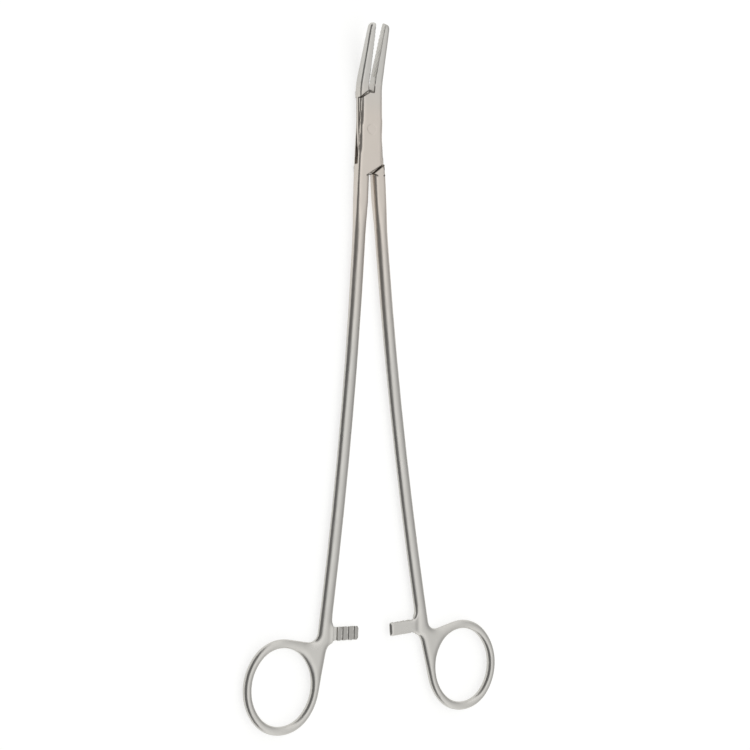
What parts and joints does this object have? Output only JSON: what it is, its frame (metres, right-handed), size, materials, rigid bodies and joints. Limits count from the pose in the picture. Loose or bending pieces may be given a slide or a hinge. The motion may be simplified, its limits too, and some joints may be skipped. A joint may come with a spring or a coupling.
{
  "type": "surgical needle holder",
  "caption": "Long surgical needle holder: crossed halves in a riveted box lock, finger rings, a saw-tooth ratchet and angled jaws with cross-cut faces.",
  "frame": {"origin": "on the axis of the box lock's rivet, at the underside of the box", "axes": "+Y along the instrument from the rings to the jaw tips, +Z out of the front face, towards which the jaws bend, +X towards the shank of the half with the tongue"},
  "size_m": [0.1132, 0.2714, 0.0123],
  "materials": {
    "satin_steel": "satin, glass-bead blasted and lightly brushed"
  },
  "bodies": {
    "box_side": {"box_half": "satin_steel", "pivot_pin": "satin_steel"},
    "tongue_side": {"tongue_half": "satin_steel"}
  },
  "joints": [
    {"name": "box_lock_hinge", "type": "hinge", "parent": "box_side", "child": "tongue_side", "pos_m": [0, 0, 0], "axis": [0, 0, 1], "range_deg": [-5.4, 34.6]}
  ]
}
